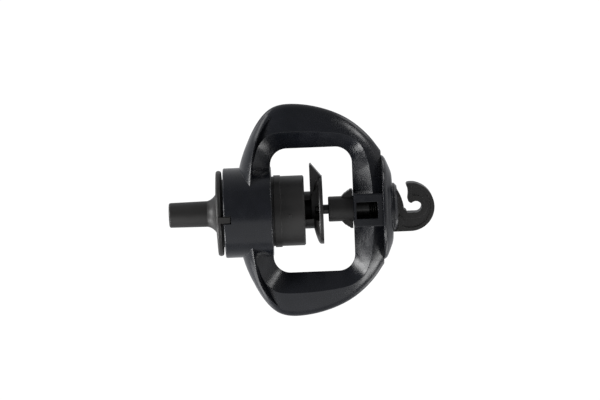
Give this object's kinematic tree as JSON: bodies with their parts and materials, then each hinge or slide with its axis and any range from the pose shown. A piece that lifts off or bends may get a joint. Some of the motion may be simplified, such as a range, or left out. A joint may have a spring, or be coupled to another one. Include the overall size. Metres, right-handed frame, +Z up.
{
  "type": "wire hung sprinkler head",
  "caption": "Hanging spinner sprinkler head: inlet tube and collar below an open D-shaped yoke, sprung spinning deflector inside it, and a wire hook on top.",
  "frame": {"origin": "centre of the inlet tube's open end, at the foot of the body axis", "axes": "+Z up the body axis to the wire hook, X across the open D of the yoke with the hook's mouth towards -X, Y along the wire"},
  "size_m": [0.0838, 0.035, 0.1034],
  "materials": {
    "yoke_plastic": "moulded bluish black, satin gloss",
    "body_plastic": "moulded neutral black, fine matte",
    "rotor_plastic": "moulded black, smooth satin",
    "shaft_plastic": "polished black acetal",
    "inner_plastic": "moulded dark grey",
    "seal_rubber": "smooth rubber",
    "silicone": "translucent silicone",
    "acetal": "turned black acetal",
    "spring_steel": "drawn stainless wire"
  },
  "bodies": {
    "body": {"frame_yoke": "yoke_plastic", "top_cap": "yoke_plastic", "hook_stem": "body_plastic", "inlet_adaptor": "body_plastic", "inlet_o_ring": "seal_rubber", "inlet_filter": "inner_plastic", "diaphragm_cage": "inner_plastic", "regulator_diaphragm": "silicone", "regulator_seat": "inner_plastic", "nozzle_housing": "body_plastic", "housing_o_ring": "seal_rubber", "nozzle_insert": "inner_plastic", "nozzle_o_ring": "seal_rubber", "bearing_bush": "acetal", "return_spring": "spring_steel"},
    "carrier": {"thrust_cup": "acetal", "thrust_washer": "acetal"},
    "rotor": {"deflector": "rotor_plastic", "rotor_shaft": "shaft_plastic", "shaft_clip": "spring_steel"}
  },
  "joints": [
    {"name": "rotor_lift", "type": "slide", "parent": "body", "child": "carrier", "axis": [0, 0, 1], "range_m": [0, 0.002], "stiffness_N_per_m": 100, "springref_m": -0.002, "deforming": ["return_spring"]},
    {"name": "rotor_spin", "type": "hinge", "parent": "carrier", "child": "rotor", "pos_m": [0, 0, 0.066], "axis": [0, 0, 1], "continuous": true}
  ]
}
